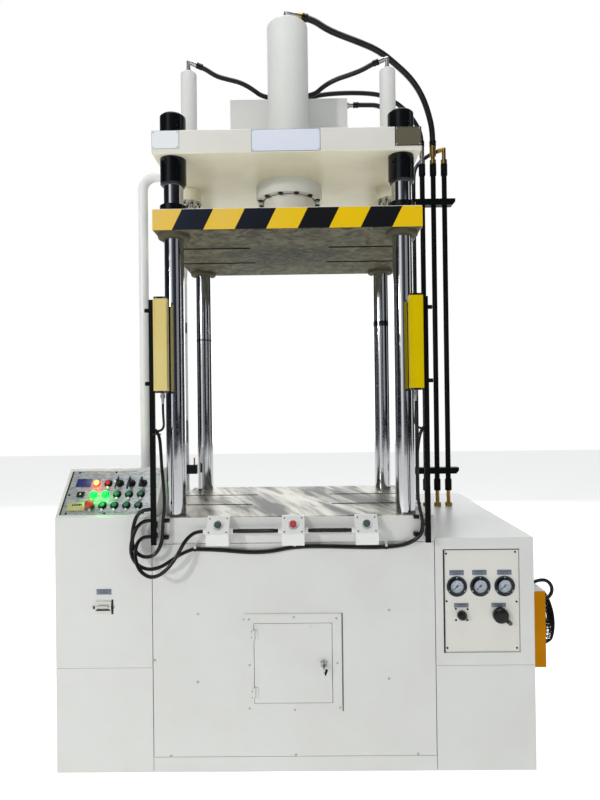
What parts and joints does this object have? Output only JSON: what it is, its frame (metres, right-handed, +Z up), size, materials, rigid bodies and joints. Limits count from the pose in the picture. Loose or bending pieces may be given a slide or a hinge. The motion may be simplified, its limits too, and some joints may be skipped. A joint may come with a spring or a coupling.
{
  "type": "four-column hydraulic press",
  "caption": "Four-column hydraulic press: guided slider with a striped front edge, top cylinder, light curtains, sloped console, gauge panel and oil cooler.",
  "frame": {"origin": "on the floor, under the middle of the main ram", "axes": "+X to the operator's right, +Y to the machine's back, +Z up"},
  "size_m": [2.098, 1.1858, 3.3],
  "materials": {
    "ivory_enamel": "satin",
    "white_enamel": "satin",
    "black_enamel": "satin",
    "orange_enamel": "satin",
    "yellow_enamel": "satin",
    "hazard_enamel": "satin",
    "machined_steel": "machined",
    "black_oxide": "oxided",
    "hard_chrome": "polished",
    "brass": "plated",
    "hose_rubber": "matte",
    "cable_sheath": "matte",
    "grey_plastic": "matte",
    "black_plastic": "matte",
    "green_plastic": "gloss",
    "red_plastic": "gloss",
    "brushed_panel": "brushed",
    "aluminium_bar": "satin"
  },
  "bodies": {
    "frame": {"base_frame": "ivory_enamel", "table": "machined_steel", "table_cheeks": "ivory_enamel", "front_cover": "ivory_enamel", "left_cabinet": "ivory_enamel", "right_cabinet": "ivory_enamel", "gauge_panel": "ivory_enamel", "columns": "hard_chrome", "column_nuts": "black_oxide", "crown": "ivory_enamel", "main_cylinder": "ivory_enamel", "cylinder_gland": "ivory_enamel", "oil_tank": "ivory_enamel", "return_cylinders": "ivory_enamel", "hose_fittings": "brass", "hoses": "hose_rubber", "riser_pipes": "black_enamel", "pipe_clamps": "black_enamel", "conduit_riser": "white_enamel", "light_curtains": "yellow_enamel", "curtain_mounts": "black_enamel", "position_rail": "aluminium_bar", "button_boxes": "white_enamel", "box_conduits": "grey_plastic", "machine_cables": "cable_sheath", "console_housing": "ivory_enamel", "console_panel": "brushed_panel", "console_fittings": "black_plastic", "gauge_bodies": "brushed_panel", "oil_cooler": "orange_enamel", "fan_guard": "black_enamel", "breaker": "black_plastic"},
    "slider_body": {"slider": "hazard_enamel", "guide_bushes": "black_oxide", "ram": "hard_chrome", "return_rods": "hard_chrome"},
    "door": {"access_door": "ivory_enamel"},
    "lock": {"door_lock": "brushed_panel"},
    "start_button_left_body": {"start_button_left": "green_plastic"},
    "front_stop_button_body": {"front_stop_button": "red_plastic"},
    "start_button_right_body": {"start_button_right": "green_plastic"},
    "mushroom_stop_body": {"mushroom_stop": "red_plastic"},
    "red_button_body": {"red_button": "red_plastic"},
    "green_button_1_body": {"green_button_1": "green_plastic"},
    "green_button_2_body": {"green_button_2": "green_plastic"},
    "green_button_3_body": {"green_button_3": "green_plastic"},
    "green_button_4_body": {"green_button_4": "green_plastic"},
    "green_button_5_body": {"green_button_5": "green_plastic"},
    "green_button_6_body": {"green_button_6": "green_plastic"},
    "green_button_7_body": {"green_button_7": "green_plastic"},
    "key_selector_1_body": {"key_selector_1": "brushed_panel"},
    "key_selector_2_body": {"key_selector_2": "brushed_panel"},
    "key_selector_3_body": {"key_selector_3": "brushed_panel"},
    "gauge_needle_1_body": {"gauge_needle_1": "black_plastic"},
    "gauge_needle_2_body": {"gauge_needle_2": "black_plastic"},
    "gauge_needle_3_body": {"gauge_needle_3": "black_plastic"},
    "small_knob_body": {"small_knob": "black_plastic"},
    "valve_lever_body": {"valve_lever": "black_plastic"},
    "breaker_toggle_body": {"breaker_toggle": "black_plastic"},
    "cooler_fan_body": {"cooler_fan": "black_plastic"}
  },
  "joints": [
    {"name": "slider_stroke", "type": "slide", "parent": "frame", "child": "slider_body", "axis": [0, 0, -1], "range_m": [0, 0.5]},
    {"name": "door_hinge", "type": "hinge", "parent": "frame", "child": "door", "pos_m": [-0.151, -0.408, 0.428], "axis": [0, 0, -1], "range_deg": [0, 110]},
    {"name": "lock_turn", "type": "hinge", "parent": "door", "child": "lock", "pos_m": [0.123, -0.403, 0.428], "axis": [0, -1, 0], "range_deg": [0, 90]},
    {"name": "start_button_left_press", "type": "slide", "parent": "frame", "child": "start_button_left_body", "axis": [0, 0.7784, -0.6278], "range_m": [0, 0.004], "stiffness_N_per_m": 1500, "springref_m": -0.003},
    {"name": "front_stop_button_press", "type": "slide", "parent": "frame", "child": "front_stop_button_body", "axis": [0, 0.7784, -0.6278], "range_m": [0, 0.004], "stiffness_N_per_m": 1500, "springref_m": -0.003},
    {"name": "start_button_right_press", "type": "slide", "parent": "frame", "child": "start_button_right_body", "axis": [0, 0.7784, -0.6278], "range_m": [0, 0.004], "stiffness_N_per_m": 1500, "springref_m": -0.003},
    {"name": "mushroom_stop_press", "type": "slide", "parent": "frame", "child": "mushroom_stop_body", "axis": [0, 0.7358, -0.6772], "range_m": [0, 0.005]},
    {"name": "red_button_press", "type": "slide", "parent": "frame", "child": "red_button_body", "axis": [0, 0.7358, -0.6772], "range_m": [0, 0.003], "stiffness_N_per_m": 1500, "springref_m": -0.003},
    {"name": "green_button_1_press", "type": "slide", "parent": "frame", "child": "green_button_1_body", "axis": [0, 0.7358, -0.6772], "range_m": [0, 0.003], "stiffness_N_per_m": 1500, "springref_m": -0.003},
    {"name": "green_button_2_press", "type": "slide", "parent": "frame", "child": "green_button_2_body", "axis": [0, 0.7358, -0.6772], "range_m": [0, 0.003], "stiffness_N_per_m": 1500, "springref_m": -0.003},
    {"name": "green_button_3_press", "type": "slide", "parent": "frame", "child": "green_button_3_body", "axis": [0, 0.7358, -0.6772], "range_m": [0, 0.003], "stiffness_N_per_m": 1500, "springref_m": -0.003},
    {"name": "green_button_4_press", "type": "slide", "parent": "frame", "child": "green_button_4_body", "axis": [0, 0.7358, -0.6772], "range_m": [0, 0.003], "stiffness_N_per_m": 1500, "springref_m": -0.003},
    {"name": "green_button_5_press", "type": "slide", "parent": "frame", "child": "green_button_5_body", "axis": [0, 0.7358, -0.6772], "range_m": [0, 0.003], "stiffness_N_per_m": 1500, "springref_m": -0.003},
    {"name": "green_button_6_press", "type": "slide", "parent": "frame", "child": "green_button_6_body", "axis": [0, 0.7358, -0.6772], "range_m": [0, 0.003], "stiffness_N_per_m": 1500, "springref_m": -0.003},
    {"name": "green_button_7_press", "type": "slide", "parent": "frame", "child": "green_button_7_body", "axis": [0, 0.7358, -0.6772], "range_m": [0, 0.003], "stiffness_N_per_m": 1500, "springref_m": -0.003},
    {"name": "key_selector_1_turn", "type": "hinge", "parent": "frame", "child": "key_selector_1_body", "pos_m": [-0.712, -0.29029, 1.12819], "axis": [0, 0.7358, -0.6772], "range_deg": [0, 90]},
    {"name": "key_selector_2_turn", "type": "hinge", "parent": "frame", "child": "key_selector_2_body", "pos_m": [-0.6635, -0.29029, 1.12819], "axis": [0, 0.7358, -0.6772], "range_deg": [0, 90]},
    {"name": "key_selector_3_turn", "type": "hinge", "parent": "frame", "child": "key_selector_3_body", "pos_m": [-0.615, -0.29029, 1.12819], "axis": [0, 0.7358, -0.6772], "range_deg": [0, 90]},
    {"name": "gauge_needle_1_sweep", "type": "hinge", "parent": "frame", "child": "gauge_needle_1_body", "pos_m": [0.653, -0.398, 0.723], "axis": [0, 1, 0], "range_deg": [0, 270], "stiffness_Nm_per_rad": 0.01, "springref_deg": -17.19},
    {"name": "gauge_needle_2_sweep", "type": "hinge", "parent": "frame", "child": "gauge_needle_2_body", "pos_m": [0.745, -0.398, 0.723], "axis": [0, 1, 0], "range_deg": [0, 270], "stiffness_Nm_per_rad": 0.01, "springref_deg": -17.19},
    {"name": "gauge_needle_3_sweep", "type": "hinge", "parent": "frame", "child": "gauge_needle_3_body", "pos_m": [0.841, -0.398, 0.723], "axis": [0, 1, 0], "range_deg": [0, 270], "stiffness_Nm_per_rad": 0.01, "springref_deg": -17.19},
    {"name": "small_knob_turn", "type": "hinge", "parent": "frame", "child": "small_knob_body", "pos_m": [0.671, -0.398, 0.61], "axis": [0, 1, 0], "range_deg": [0, 300]},
    {"name": "valve_lever_turn", "type": "hinge", "parent": "frame", "child": "valve_lever_body", "pos_m": [0.822, -0.398, 0.61], "axis": [0, 1, 0], "range_deg": [0, 90]},
    {"name": "breaker_toggle_throw", "type": "hinge", "parent": "frame", "child": "breaker_toggle_body", "pos_m": [-0.747, -0.398, 0.653], "axis": [1, 0, 0], "range_deg": [0, 50]},
    {"name": "cooler_fan_spin", "type": "hinge", "parent": "frame", "child": "cooler_fan_body", "pos_m": [1.059, -0.015, 0.464], "axis": [1, 0, 0], "continuous": true}
  ]
}
